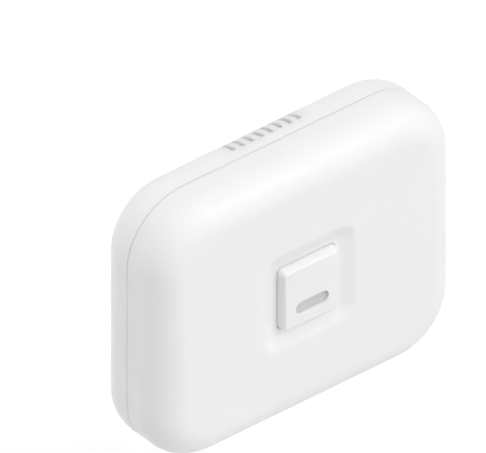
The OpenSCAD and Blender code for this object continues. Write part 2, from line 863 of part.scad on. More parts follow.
// Front half of the case: filleted edge, sloped dish, ribs, bosses and standoffs
module front_shell() {
    rim_d = parting_d + seam_w / 2;
    rebate_in = wall_t - lip_t - lip_gap;
    hole_w = button_w + 2 * button_gap;
    color(case_white)
        stand()
            difference() {
                union() {
                    difference() {
                        edged_slab(corner_x, corner_y, rim_d, body_d)
                            front_profile(0, rim_d);
                        edged_slab(corner_x, corner_y, parting_d - over, inner_front_d)
                            front_profile(wall_t, parting_d - over);
                        round_plate(body_w - 2 * rebate_in, body_h - 2 * rebate_in,
                            corner_r - rebate_in, parting_d - over, parting_d + lip_h);
                    }
                    round_plate(dish_pad_w, dish_pad_w, dish_corner_r - dish_slope_w / 3,
                        dish_inner_d, body_d - wall_t / 2);
                    front_ribs();
                    at_case_screws()
                        disc(boss_r, sleeve_end_d, inner_front_d);
                    at_board_screws()
                        disc(board_screw_r + standoff_t, board_front_d, inner_front_d);
                }
                edged_slab(dish_w / 2 - dish_corner_r, dish_w / 2 - dish_corner_r,
                    dish_d, body_d + over)
                    dish_profile();
                round_plate(hole_w, hole_w, button_corner_r + button_gap,
                    dish_inner_d - over, body_d);
                at_case_screws()
                    disc(case_screw_r + screw_gap, sleeve_end_d - over,
                        counterbore_depth + case_screw_l + over);
                at_board_screws()
                    disc(board_screw_r + screw_gap, board_front_d - over,
                        board_back_d + board_screw_l + screw_gap);
                socket_holes();
            }
}

// Polarity marks of all cells, a cross at each positive end and a bar at each negative
module polarity_marks() {
    mark_x = bay_l / 2 - mark_in;
    for (i = [0 : cell_count - 1]) {
        side = i % 2 == 0 ? 1 : -1;
        translate([side * mark_x, cell_y(i), 0])
            block(mark_w, mark_l, door_t - mark_depth, door_t + over);
        for (s = [-1, 1])
            translate([s * mark_x, cell_y(i), 0])
                block(mark_l, mark_w, door_t - mark_depth, door_t + over);
    }
}

// Battery door with its latch tongue, ridged thumb hollow and two hooks
module battery_door() {
    thumb_r = (thumb_l * thumb_l / 4 + thumb_depth * thumb_depth) / (2 * thumb_depth);
    thumb_y = (door_h - latch_l) / 2;
    slot_x = (latch_w + latch_slot_w) / 2;
    color(case_white)
        stand() {
            difference() {
                union() {
                    round_plate(door_l, door_h, door_corner_r, 0, door_t);
                    at_hooks()
                        bar(hook_w)
                            polygon([[0, door_t / 2], [hook_t, door_t / 2],
                                [hook_t, hook_end_d], [-hook_reach, hook_end_d],
                                [-hook_reach, wall_t + hook_gap], [0, wall_t + hook_gap]]);
                    translate([0, door_h / 2 + nose_reach - nose_r, door_t / 2])
                        bar(latch_w - 2 * nose_r)
                            circle(nose_r);
                }
                for (s = [-1, 1])
                    translate([s * slot_x, (door_h - latch_l + over) / 2, 0])
                        block(latch_slot_w, latch_l + over, -over, door_t + over);
                translate([0, thumb_y, thumb_depth - thumb_r])
                    bar(latch_w)
                        circle(thumb_r);
                polarity_marks();
            }
            for (i = [0 : ridge_count - 1])
                translate([0, thumb_y + (i - (ridge_count - 1) / 2) * ridge_pitch, 0])
                    block(latch_w, ridge_w, 0, door_t / 2);
        }
}

// Edge of the button: a flange behind the dish, then drafted sides and a round edge
module cap_profile() {
    foot_x = button_corner_r;
    lip_x = foot_x + flange_w;
    flange_end_d = flange_d + flange_t;
    arc_d = face_d - button_edge_r;
    arc_x = foot_x - (arc_d - dish_d) * tan(button_draft_a) - button_edge_r / cos(button_draft_a);
    touch_x = arc_x + button_edge_r * cos(button_draft_a);
    touch_d = arc_d + button_edge_r * sin(button_draft_a);
    polygon([[0, flange_d], [lip_x, flange_d], [lip_x, flange_end_d], [foot_x, flange_end_d],
        [foot_x, dish_d], [touch_x, touch_d], [arc_x, arc_d], [arc_x, face_d], [0, face_d]]);
    intersection() {
        translate([arc_x, arc_d])
            circle(button_edge_r);
        translate([arc_x, arc_d])
            square([button_edge_r, button_edge_r]);
    }
}

// Hollow square button with its window opening and the pip that meets the switch
module button_cap() {
    side = button_w / 2 - button_corner_r;
    hollow_w = button_w - 2 * button_wall_t;
    color(case_white)
        stand() {
            difference() {
                edged_slab(side, side, flange_d, face_d)
                    cap_profile();
                round_plate(hollow_w, hollow_w, button_corner_r - button_wall_t,
                    flange_d - over, cap_inner_d);
                translate([0, -window_drop, cap_inner_d - over])
                    linear_extrude(button_wall_t + 2 * over)
                        pill(window_l, window_h);
            }
            translate([0, switch_rise, 0])
                disc(plunger_r, plunger_top_d + press_gap, cap_inner_d);
        }
}

// Frosted lens in the button's face, with a shoulder behind it and a light pipe
module status_lens() {
    shoulder_d = cap_inner_d - lens_shoulder_t;
    color([0.7, 0.71, 0.71])
        stand()
            translate([0, -window_drop, 0]) {
                translate([0, 0, shoulder_d])
                    linear_extrude(face_d - window_recess - shoulder_d)
                        pill(window_l - 2 * lens_gap, window_h - 2 * lens_gap);
                translate([0, 0, shoulder_d])
                    linear_extrude(lens_shoulder_t)
                        pill(window_l + 2 * lens_shoulder_w, window_h + 2 * lens_shoulder_w);
                translate([0, 0, board_front_d + led_t + pipe_gap])
                    linear_extrude(cap_inner_d - board_front_d - led_t - pipe_gap)
                        pill(pipe_l, pipe_h);
            }
}

// Push switch under the button
module switch_body() {
    color(plastic_black)
        stand()
            translate([0, switch_rise, 0])
                difference() {
                    round_plate(switch_w, switch_w, switch_corner_r,
                        board_front_d, board_front_d + switch_h);
                    disc(plunger_r + plunger_gap,
                        board_front_d + switch_h - plunger_root - plunger_room,
                        board_front_d + switch_h + over);
                }
}

module switch_plunger() {
    color(plastic_black)
        stand()
            translate([0, switch_rise, 0])
                disc(plunger_r, board_front_d + switch_h - plunger_root, plunger_top_d);
}

// Light-emitting diode under the light pipe: a carrier with a smaller lens on it
module status_led() {
    color([0.9, 0.9, 0.8])
        stand()
            translate([0, -window_drop, 0]) {
                block(led_l, led_w, board_front_d, board_front_d + led_t / 2);
                block(led_l / 2, led_w, board_front_d, board_front_d + led_t);
            }
}

// Circuit board, with bites for the case bosses and ways for screws and tails
module circuit_board() {
    color([0.1, 0.35, 0.18])
        stand()
            difference() {
                round_plate(body_w - 2 * board_inset, body_h - 2 * board_inset,
                    corner_r - board_inset, board_back_d, board_front_d);
                at_case_screws()
                    disc(bite_r, board_back_d - over, board_front_d + over);
                at_board_screws()
                    disc(board_screw_r + pass_gap, board_back_d - over, board_front_d + over);
                at_tails()
                    block(contact_t + 2 * tail_gap, tail_w + 2 * tail_gap,
                        board_back_d - over, board_front_d + over);
            }
}

// Pan-head screw with a cross recess, its head towards the back and seated at depth 0
module screw(shank_r, shank_l, head_r, head_h) {
    color(metal_grey)
        difference() {
            union() {
                disc(shank_r, -head_h / 2, shank_l);
                disc(head_r, -head_h, 0);
            }
            block(cross_w, cross_share * head_r, -head_h - over, cross_depth - head_h);
            block(cross_share * head_r, cross_w, -head_h - over, cross_depth - head_h);
        }
}

module board_screws() {
    stand()
        at_board_screws()
            translate([0, 0, board_back_d])
                screw(board_screw_r, board_screw_l, board_head_r, board_head_h);
}

module case_screws() {
    stand()
        at_case_screws()
            translate([0, 0, counterbore_depth])
                screw(case_screw_r, case_screw_l, case_head_r, case_head_h);
}

// Outline of the power socket in (X, depth), smaller by t all round
module usb_outline(t) {
    side = usb_w / 2 - t;
    high = usb_h - t;
    polygon([[-side, high], [side, high], [side, usb_bevel], [side - usb_bevel + t, t],
        [-side + usb_bevel - t, t], [-side, usb_bevel]]);
}

// Metal power socket with its mouth in the bottom edge and a tongue inside
module power_socket() {
    color(metal_grey)
        stand()
            translate([usb_x, -usb_end_y, board_back_d - usb_h])
                difference() {
                    translate([0, usb_l, 0])
                        rotate([90, 0, 0])
                            linear_extrude(usb_l)
                                usb_outline(0);
                    difference() {
                        translate([0, usb_mouth_l, 0])
                            rotate([90, 0, 0])
                                linear_extrude(usb_mouth_l + over)
                                    usb_outline(usb_metal_t);
                        translate([0, usb_mouth_l / 2 + usb_metal_t, 0])
                            block(usb_w / 2, usb_mouth_l, (usb_h - usb_tongue_t) / 2,
                                (usb_h + usb_tongue_t) / 2);
                    }
                }
}

// Round jack for a wired emitter, its collar reaching through the bottom edge
module emitter_jack() {
    color(plastic_black)
        stand()
            translate([-jack_x, 0, 0])
                difference() {
                    union() {
                        translate([0, -jack_body_y + jack_l / 2, 0])
                            block(jack_w, jack_l, board_back_d - jack_h, board_back_d);
                        translate([0, -jack_end_y, jack_d])
                            rotate([-90, 0, 0])
                                cylinder(r = jack_collar_r, h = jack_end_y - jack_body_y + over);
                    }
                    translate([0, -jack_end_y - over, jack_d])
                        rotate([-90, 0, 0])
                            cylinder(r = jack_bore_r, h = jack_bore_l + over);
                }
}

// Infrared emitter lying flat with its dome towards +Y at height 0, leads bent down
module ir_emitter() {
    base_y = -ir_r - ir_l;
    translate([0, base_y, ir_d])
        rotate([-90, 0, 0])
            rotate_extrude() {
                square([ir_r, ir_l]);
                square([ir_r + ir_rim_w, ir_rim_t]);
                intersection() {
                    translate([0, ir_l])
                        circle(ir_r);
                    translate([0, ir_l])
                        square([ir_r, ir_r]);
                }
            }
    for (s = [-1, 1])
        translate([s * ir_lead_pitch / 2, base_y - ir_lead_l, 0]) {
            translate([0, 0, ir_d])
                rotate([-90, 0, 0])
                    cylinder(r = ir_lead_r, h = ir_lead_l + ir_rim_t / 2);
            translate([0, 0, ir_d])
                sphere(ir_lead_r);
            disc(ir_lead_r, board_front_d, ir_d);
        }
}

// Five emitters that light the room through the front shell's round edge
module ir_emitters() {
    color([0.35, 0.33, 0.45])
        stand() {
            for (s = [-1, 1])
                translate([s * ir_top_x, body_h / 2 - ir_reach, 0])
                    ir_emitter();
            for (s = [-1, 1])
                translate([s * (body_w / 2 - ir_reach), -ir_side_drop, 0])
                    rotate([0, 0, -s * 90])
                        ir_emitter();
            translate([0, -body_h / 2 + ir_reach, 0])
                rotate([0, 0, 180])
                    ir_emitter();
        }
}

// Receiver that learns the codes of a hand-held remote control
module ir_receiver() {
    lens_ball_r = (receiver_lens_r * receiver_lens_r + receiver_bulge * receiver_bulge)
        / (2 * receiver_bulge);
    top_d = board_front_d + receiver_t;
    color(plastic_black)
        stand()
            translate([-inductor_x, -inductor_y, 0]) {
                block(receiver_w, receiver_h, board_front_d, top_d);
                intersection() {
                    translate([0, 0, top_d + receiver_bulge - lens_ball_r])
                        sphere(lens_ball_r);
                    disc(receiver_lens_r + over, top_d - receiver_t / 2, top_d + receiver_bulge + over);
                }
            }
}

module radio_board() {
    color([0.1, 0.25, 0.45])
        stand()
            translate([radio_x, radio_y, 0])
                block(radio_w, radio_h, board_front_d, board_front_d + radio_t);
}

// Shield can over the lower part of the radio module, open towards the module
module radio_shield() {
    can_w = radio_w - 2 * shield_margin;
    can_h = radio_h * shield_share;
    can_d = board_front_d + radio_t;
    color(metal_grey)
        stand()
            translate([radio_x, radio_y - radio_h / 2 + shield_margin + can_h / 2, 0])
                difference() {
                    block(can_w, can_h, can_d, can_d + shield_h);
                    block(can_w - 2 * shield_t, can_h - 2 * shield_t, can_d - over,
                        can_d + shield_h - shield_t);
                }
}

// Wire aerial that rises from the radio module and turns towards the middle
module aerial_wire() {
    start_y = radio_y + radio_h / 2;
    rise = body_h / 2 - ir_back - aerial_gap - aerial_r - start_y;
    straight = rise - aerial_bend_r;
    color([0.8, 0.5, 0.3])
        stand()
            translate([radio_x, start_y, board_front_d + aerial_r]) {
                rotate([-90, 0, 0])
                    cylinder(r = aerial_r, h = straight);
                translate([-aerial_bend_r, straight, 0])
                    rotate_extrude(angle = 90)
                        translate([aerial_bend_r, 0])
                            circle(aerial_r);
                translate([-aerial_bend_r, rise, 0])
                    rotate([0, -90, 0])
                        cylinder(r = aerial_r, h = aerial_run - aerial_bend_r);
            }
}

// Row of n leads on each of two sides of a chip that is w wide
module chip_leads_row(w, n) {
    for (s = [-1, 1], i = [0 : n - 1])
        translate([s * (w + lead_l) / 2, (i - (n - 1) / 2) * lead_pitch, 0])
            block(lead_l + lead_t, lead_w, board_front_d, board_front_d + 2 * lead_t);
}

module microcontroller() {
    color(plastic_black)
        stand()
            translate([-chip_x, chip_y, 0]) {
                block(chip_w, chip_w, board_front_d + lead_t, board_front_d + chip_t);
                for (a = [0, 90])
                    rotate(a)
                        chip_leads_row(chip_w, chip_leads);
            }
}

module memory_chip() {
    color(plastic_black)
        stand()
            translate([-chip_x, -memory_y, 0]) {
                block(memory_w, memory_l, board_front_d + lead_t, board_front_d + chip_t);
                chip_leads_row(memory_w, floor(memory_l / lead_pitch) - 1);
            }
}

// Crystal that clocks the microcontroller: a lid on a wider base
module clock_crystal() {
    color(metal_grey)
        stand()
            translate([-chip_x, crystal_y, 0]) {
                block(crystal_l, crystal_w, board_front_d, board_front_d + crystal_t / 2);
                block(crystal_l - crystal_t / 2, crystal_w - crystal_t / 2,
                    board_front_d, board_front_d + crystal_t);
            }
}

// Voltage regulator with three legs and a cooling tab
module voltage_regulator() {
    leg_pitch = regulator_w / 3;
    color(plastic_black)
        stand()
            translate([radio_x, -regulator_y, 0]) {
                block(regulator_w, regulator_l, board_front_d + lead_t,
                    board_front_d + regulator_t);
                translate([0, (regulator_l + lead_l) / 2, 0])
                    block(regulator_w / 2, lead_l + lead_t, board_front_d,
                        board_front_d + 2 * lead_t);
                for (i = [-1 : 1])
                    translate([i * leg_pitch, -(regulator_l + lead_l) / 2, 0])
                        block(2 * lead_w, lead_l + lead_t, board_front_d,
                            board_front_d + 2 * lead_t);
            }
}

// Rows of small resistors and capacitors beside the microcontroller and the radio module
module chip_parts() {
    row_x = [-chip_x + chip_w / 2 + lead_l + lead_t + chip_part_gap,
        radio_x - radio_w / 2 - chip_part_gap];
    color([0.55, 0.45, 0.35])
        stand()
            for (x = row_x, i = [0 : chip_part_count - 1])
                translate([x, radio_y + (i - (chip_part_count - 1) / 2) * chip_part_pitch, 0])
                    block(chip_part_l, chip_part_w, board_front_d, board_front_d + chip_part_t);
}

// Inductor of the power supply, a round winding between square flanges
module power_inductor() {
    color([0.25, 0.25, 0.25])
        stand()
            translate([inductor_x, -inductor_y, board_front_d]) {
                block(inductor_w, inductor_w, 0, inductor_t / 4);
                disc(inductor_w / 2 - inductor_t / 4, 0, inductor_t);
                round_plate(inductor_w, inductor_w, inductor_t / 4, 3 * inductor_t / 4, inductor_t);
            }
}

// Storage capacitors behind the board, with a crimped groove near the foot
module storage_capacitors() {
    color([0.15, 0.2, 0.35])
        stand()
            for (s = [-1, 1])
                translate([s * capacitor_x, capacitor_y, board_back_d - capacitor_h])
                    rotate_extrude()
                        difference() {
                            square([capacitor_r, capacitor_h]);
                            translate([capacitor_r + crimp_depth, capacitor_h - 4 * crimp_depth])
                                circle(2 * crimp_depth);
                        }
}

// Temperature bead on two leads behind the vents
module temperature_sensor() {
    color([0.15, 0.15, 0.15])
        stand()
            translate([0, bead_y, 0]) {
                translate([0, 0, bead_d])
                    sphere(bead_r);
                for (s = [-1, 1])
                    translate([s * bead_lead_pitch / 2, 0, 0])
                        disc(bead_lead_r, bead_d, board_back_d);
            }
}

// Contact plates at one end of the bay, side -1 left or 1 right, for cells first to last,
// with or without a solder tail
module contact(side, first, last, tail) {
    color(metal_grey)
        stand()
            translate([side * (bay_l - contact_t) / 2, 0, 0]) {
                for (i = [first : last])
                    translate([0, cell_y(i), 0])
                        block(contact_t, contact_w, cell_d - contact_h / 2, cell_d + contact_h / 2);
                if (last > first)
                    translate([0, (cell_y(first) + cell_y(last)) / 2, 0])
                        block(contact_t, cell_pitch, cell_d - contact_h / 2, cell_d);
                if (tail)
                    translate([0, cell_y(first), 0])
                        block(contact_t, tail_w, cell_d, board_front_d + tail_out);
            }
}

module positive_end_contact() {
    contact(1, 0, 0, true);
}

module negative_end_contact() {
    contact(-1, cell_count - 1, cell_count - 1, true);
}

module left_link_contact() {
    contact(-1, 0, 1, false);
}

module right_link_contact() {
    contact(1, 1, 2, false);
}

// Middle of a spring's wire after a share of its turns
function spring_r(share) = spring_foot_r + (spring_tip_r - spring_foot_r) * share;
function spring_rise() = (spring_l - 2 * spring_wire_r) / spring_turns;
function spring_middle(share) =
    let (a = 360 * spring_turns * share)
    [spring_r(share) * cos(a), spring_r(share) * sin(a),
        spring_wire_r + (spring_l - 2 * spring_wire_r) * share];

// Ring of points round the wire, square to the way that the wire runs
function spring_ring(share) =
    let (a = 360 * spring_turns * share, slope = atan(spring_rise() / (2 * PI * spring_r(share))),
        out = [cos(a), sin(a), 0],
        up = [sin(a) * sin(slope), -cos(a) * sin(slope), cos(slope)])
    [for (j = [0 : wire_sides - 1])
        let (b = 360 * j / wire_sides)
        spring_middle(share) + spring_wire_r * (cos(b) * out + sin(b) * up)];

// Conical coil spring that stands on its plate and narrows towards the cell
module coil_spring() {
    rings = spring_turns * rings_per_turn;
    points = [for (k = [0 : rings]) each spring_ring(k / rings)];
    sides = [for (k = [0 : rings - 1], j = [0 : wire_sides - 1])
        let (a = k * wire_sides + j, b = k * wire_sides + (j + 1) % wire_sides)
        each [[a, b, b + wire_sides], [a, b + wire_sides, a + wire_sides]]];
    start = [for (j = [1 : wire_sides - 2]) [0, j + 1, j]];
    end = [for (j = [1 : wire_sides - 2])
        [rings * wire_sides, rings * wire_sides + j, rings * wire_sides + j + 1]];
    polyhedron(points, concat(sides, start, end));
}

// One spring at the negative end of each cell
module battery_springs() {
    color(metal_grey)
        stand()
            for (i = [0 : cell_count - 1]) {
                side = i % 2 == 0 ? -1 : 1;
                translate([side * (bay_l / 2 - contact_t), cell_y(i), cell_d])
                    rotate([0, -side * 90, 0])
                        coil_spring();
            }
}

// Cell i with its nub to the right where side is 1 and to the left where it is -1
module cell(i, side) {
    can_l = cell_l - nub_h;
    color([0.2, 0.22, 0.24])
        stand()
            translate([side * (bay_l / 2 - contact_t - cell_l), cell_y(i), cell_d])
                rotate([0, side * 90, 0])
                    rotate_extrude() {
                        translate([0, cell_edge_r])
                            square([cell_r, can_l - 2 * cell_edge_r]);
                        square([cell_r - cell_edge_r, can_l]);
                        for (z = [cell_edge_r, can_l - cell_edge_r])
                            translate([cell_r - cell_edge_r, z])
                                circle(cell_edge_r);
                        square([nub_r, cell_l]);
                    }
}

module cell_upper() {
    cell(0, 1);
}

module cell_middle() {
    cell(1, -1);
}

module cell_lower() {
    cell(2, 1);
}

// Least space between neighbouring turns of a spring, measured on the wire's middle
spring_clear = min([for (k = [0 : (spring_turns - 1) * rings_per_turn])
    norm(spring_middle((k + rings_per_turn) / (spring_turns * rings_per_turn))
        - spring_middle(k / (spring_turns * rings_per_turn)))]) - 2 * spring_wire_r;
echo(str("least space between turns of a spring: ", spring_clear));

rear_shell();
front_shell();
battery_door();
button_cap();
status_lens();
switch_body();
switch_plunger();
status_led();
circuit_board();
board_screws();
case_screws();
power_socket();
emitter_jack();
ir_emitters();
ir_receiver();
radio_board();
radio_shield();
aerial_wire();
microcontroller();
memory_chip();
clock_crystal();
voltage_regulator();
chip_parts();
power_inductor();
storage_capacitors();
temperature_sensor();
positive_end_contact();
negative_end_contact();
left_link_contact();
right_link_contact();
battery_springs();
cell_upper();
cell_middle();
cell_lower();
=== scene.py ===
"""Looks of a smart infrared blaster: white satin case, square button, grey status window."""

import math

import bpy
from mathutils import Matrix, Vector


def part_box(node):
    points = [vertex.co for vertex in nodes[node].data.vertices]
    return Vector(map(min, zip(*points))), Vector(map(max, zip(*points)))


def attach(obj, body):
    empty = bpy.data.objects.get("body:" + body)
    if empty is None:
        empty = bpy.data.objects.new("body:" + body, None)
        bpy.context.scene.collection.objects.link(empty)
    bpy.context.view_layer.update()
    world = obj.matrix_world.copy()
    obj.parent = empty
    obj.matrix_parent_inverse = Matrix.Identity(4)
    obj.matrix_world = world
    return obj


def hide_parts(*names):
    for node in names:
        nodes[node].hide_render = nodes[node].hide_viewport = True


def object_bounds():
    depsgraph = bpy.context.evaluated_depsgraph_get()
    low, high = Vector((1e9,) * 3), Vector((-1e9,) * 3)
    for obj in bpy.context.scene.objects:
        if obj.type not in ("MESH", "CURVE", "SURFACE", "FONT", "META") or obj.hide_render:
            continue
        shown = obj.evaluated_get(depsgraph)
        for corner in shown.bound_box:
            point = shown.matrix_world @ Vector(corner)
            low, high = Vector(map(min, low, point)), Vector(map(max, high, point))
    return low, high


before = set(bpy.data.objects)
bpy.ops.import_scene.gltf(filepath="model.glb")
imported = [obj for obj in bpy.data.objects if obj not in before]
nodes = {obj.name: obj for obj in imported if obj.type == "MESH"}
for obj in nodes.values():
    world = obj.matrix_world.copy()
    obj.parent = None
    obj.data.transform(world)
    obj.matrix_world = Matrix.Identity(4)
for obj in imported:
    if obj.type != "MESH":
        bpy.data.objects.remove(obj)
cad_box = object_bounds()

MM = 0.001

# Camera: an orthographic view from the left, in front and above
IMAGE_W = 486
IMAGE_H = 453
PIXELS_PER_MM = 3.614
CAMERA_TURN = math.radians(39.331)
CAMERA_DROP = math.radians(36.179)
CAMERA_DISTANCE = 600 * MM
CAMERA_NEAR = 1 * MM
CAMERA_FAR = 10000 * MM
# The pixel where the middle of the parting plane appears, and that plane's depth
ANCHOR_X = 276.8
ANCHOR_Y = 265.01
PARTING_DEPTH = 11.4 * MM

# Soft light from all round: its mean, how it leans along X, Y and Z, and how it
# swells and fades between them
LIGHT_MEAN = 0.912
LIGHT_LEAN = (-0.3, 0.205, -0.12)
LIGHT_XY = -1.36
LIGHT_YZ = -1.4
LIGHT_XZ = 0.2
LIGHT_XX_YY = -0.6
LIGHT_ZZ = 0.275

# Lamp that draws the bright line along the rounded top edge: the way to it
KEY_WAY = (0.512, -0.59, 0.624)
KEY_STRENGTH = 0.15
KEY_ANGLE = math.radians(12)

# Front of the case as packed, in the plane of the front: the dish and the button's hole
FRONT_DEPTH = 26.1 * MM
RIM_CORE = 10.8 * MM
RIM_R = 6 * MM
DISH_DEPTH = 2 * MM
DISH_SLOPE_W = 5.2 * MM
RIM_DEPTH = 11.55 * MM
BUTTON_CORE = 8 * MM
BUTTON_R = 2.2 * MM
BUTTON_EDGE_R = 1 * MM
BUTTON_GAP = 0.25 * MM
FLANGE_DEPTH = 22.3 * MM
FACE_DEPTH = 27 * MM
DRAFT = math.radians(14)
WINDOW_CORE = 3.8 * MM
WINDOW_R = 1.9 * MM
WINDOW_DROP = 3.3 * MM
LENS_GAP = 0.05 * MM
LENS_DEPTH = 26.4 * MM
SHOULDER_W = 0.8 * MM

# The same front as the photograph shows it
SHOWN_SLOPE_W = 5.8 * MM
SHOWN_TURN = 0.6 * MM
SHOWN_RIM_DEPTH = 11.4 * MM
SHOWN_BUTTON_CORE = 8.7 * MM
SHOWN_BUTTON_R = 1.6 * MM
SHOWN_BUTTON_GAP = 0.18 * MM
SHOWN_EDGE_R = 0.5 * MM
SHOWN_WINDOW_CORE = 3.85 * MM
SHOWN_WINDOW_R = 2.05 * MM
SHOWN_WINDOW_DROP = 4 * MM
SHOWN_LENS_DEPTH = 26.1 * MM

# Battery cells: bare steel at each end, and the reach of the pale band from the plus end
CELL_BARE = 2 * MM
CELL_BAND = 16 * MM

# Moulded bodies of the parts on the board, whose leads and ends are bare metal
CHIP_BODY = 10.02 * MM
MEMORY_BODY = 5.02 * MM
REGULATOR_BODY = 3.52 * MM
SENSOR_HEAD_CENTRE = (0, -9 * MM, 35 * MM)
SENSOR_HEAD = (3 * MM, 2.7 * MM, 3 * MM)
SLEEVE_CENTRE = -14.5 * MM
SLEEVE_LENGTH = 9.2 * MM
CHIP_PART_LENGTH = 1.6 * MM
CHIP_PART_BODY = 1 * MM

# Pitch of the copper tracks
BOARD_TRACK_PITCH = 0.9 * MM
MODULE_TRACK_PITCH = 0.7 * MM

# Room round the eight vents in the top of the rear shell
VENT_CENTRE = (0.0, -4.8 * MM, 41 * MM)
VENT_SIZE = (30 * MM, 8 * MM, 8 * MM)

# White plastic: its colour, the share of it where it is darkest, and how much it lets through
WHITE = (0.88, 0.88, 0.88)
WHITE_DRIFT = 0.985
PLASTIC_GLOW = 0.5
# Paler colour painted on the side walls of the vents: painted light in the shade inside them
PAINTED_VENT_LIGHT = (0.985, 0.985, 0.985)

# Colours of bare metal, and how much glossier it is than the plastic beside it
TINNED = (0.72, 0.71, 0.69)
CELL_STEEL = (0.70, 0.69, 0.67)
METAL_SHINE = 0.2

# Range that holds nearly all of a noise's values
NOISE_LOW = 0.3
NOISE_HIGH = 0.7

# Sizes of the usual patterns, as noise scales in one per metre
DRIFT_SCALE = 35
GLOSS_SCALE = 220
GRAIN_SCALE = 4000
FINE_GRAIN_SCALE = 5000

# How far light spreads inside white plastic, and in the thin webs between the vents
PLASTIC_DEPTH = 1.2 * MM
VENT_WALL_DEPTH = 3 * MM

# A point this near a packed surface lies on it
NEAR = 0.02 * MM

# Floor under the case
FLOOR_DROP = 60 * MM
FLOOR_REACH = 3000 * MM
PAPER_LOW = (0.965, 0.965, 0.965)
PAPER_HIGH = (0.99, 0.99, 0.99)
PAPER_BOUNCE = (0.7, 0.7, 0.7)
PAPER_GLOW = 0.12


def camera_axes():
    """Right, up and forward of the camera."""
    ca, sa = math.cos(CAMERA_TURN), math.sin(CAMERA_TURN)
    ce, se = math.cos(CAMERA_DROP), math.sin(CAMERA_DROP)
    return Vector((ca, -sa, 0)), Vector((sa * se, ca * se, ce)), Vector((sa * ce, ca * ce, -se))


def make_camera():
    """Orthographic camera that puts the anchor on its pixel."""
    right, up, forward = camera_axes()
    step = MM / PIXELS_PER_MM
    aim = Vector((0, -PARTING_DEPTH, 0))
    aim += right * (IMAGE_W / 2 - ANCHOR_X) * step
    aim += up * (ANCHOR_Y - IMAGE_H / 2) * step
    data = bpy.data.cameras.new("camera")
    data.type = "ORTHO"
    data.ortho_scale = IMAGE_W * step
    data.clip_start = CAMERA_NEAR
    data.clip_end = CAMERA_FAR
    camera = bpy.data.objects.new("camera", data)
    camera.matrix_world = Matrix.Translation(aim - forward * CAMERA_DISTANCE) @ Matrix(
        (right, up, -forward)
    ).transposed().to_4x4()
    bpy.context.scene.collection.objects.link(camera)
    bpy.context.scene.camera = camera


# Shader nodes


def plug(tree, value, socket):
    """Links a socket, or writes a plain value into the input."""
    if isinstance(value, bpy.types.NodeSocket):
        tree.links.new(value, socket)
    else:
        socket.default_value = value


def maths(tree, operation, first, second=0.0):
    """Socket with a sum, product or comparison of sockets or plain values."""
    node = tree.nodes.new("ShaderNodeMath")
    node.operation = operation
    plug(tree, first, node.inputs[0])
    plug(tree, second, node.inputs[1])
    return node.outputs[0]


def split(tree, vector):
    """The three parts of a vector socket."""
    node = tree.nodes.new("ShaderNodeSeparateXYZ")
    tree.links.new(vector, node.inputs[0])
    return node.outputs["X"], node.outputs["Y"], node.outputs["Z"]


def object_point(tree):
    """Socket with the place on the object, in metres."""
    return tree.nodes.new("ShaderNodeTexCoord").outputs["Object"]


def noise(tree, scale, detail=3.0, roughness=0.5, stretch=None):
    """Noise over the place on the object, stretched along its axes if asked."""
    node = tree.nodes.new("ShaderNodeTexNoise")
    node.inputs["Scale"].default_value = scale
    node.inputs["Detail"].default_value = detail
    node.inputs["Roughness"].default_value = roughness
    place = object_point(tree)
    if stretch:
        scaled = tree.nodes.new("ShaderNodeVectorMath")
        scaled.operation = "MULTIPLY"
        tree.links.new(place, scaled.inputs[0])
        scaled.inputs[1].default_value = stretch
        place = scaled.outputs[0]
    tree.links.new(place, node.inputs["Vector"])
    return node.outputs["Fac"]


def spread(tree, socket, low, high, out_low, out_high):
    """Maps a socket from the range low to high onto out_low to out_high."""
    node = tree.nodes.new("ShaderNodeMapRange")
    node.inputs["From Min"].default_value = low
    node.inputs["From Max"].default_value = high
    node.inputs["To Min"].default_value = out_low
    node.inputs["To Max"].default_value = out_high
    tree.links.new(socket, node.inputs["Value"])
    return node.outputs["Result"]


def varied(tree, pattern, low, high):
    """Maps the usual range of a noise onto low to high."""
    return spread(tree, pattern, NOISE_LOW, NOISE_HIGH, low, high)


def blend(tree, factor, first, second):
    """Mixes two colours, each a socket or three numbers."""
    node = tree.nodes.new("ShaderNodeMix")
    node.data_type = "RGBA"
    for value, socket in ((first, node.inputs[6]), (second, node.inputs[7])):
        plug(tree, (*value, 1) if isinstance(value, tuple) else value, socket)
    tree.links.new(factor, node.inputs[0])
    return node.outputs[2]


def add_bump(tree, shader, height, distance, strength=1.0):
    """Relief of the given depth on a shader."""
    node = tree.nodes.new("ShaderNodeBump")
    node.inputs["Strength"].default_value = strength
    node.inputs["Distance"].default_value = distance
    tree.links.new(height, node.inputs["Height"])
    tree.links.new(node.outputs["Normal"], shader.inputs["Normal"])


def outside_box(tree, centre, size):
    """1 outside an upright box on the object, 0 inside. Sizes of None have no limit."""
    result = None
    for axis, middle, width in zip(split(tree, object_point(tree)), centre, size):
        if width is None:
            continue
        off = maths(tree, "ABSOLUTE", maths(tree, "SUBTRACT", axis, middle))
        past = maths(tree, "GREATER_THAN", off, width / 2)
        result = past if result is None else maths(tree, "MAXIMUM", result, past)
    return result


def new_material(name):
    """An empty node material with its output and a principled shader."""
    material = bpy.data.materials.new(name)
    material.use_nodes = True
    tree = material.node_tree
    tree.nodes.clear()
    output = tree.nodes.new("ShaderNodeOutputMaterial")
    shader = tree.nodes.new("ShaderNodeBsdfPrincipled")
    tree.links.new(shader.outputs["BSDF"], output.inputs["Surface"])
    return material, tree, shader


# Materials


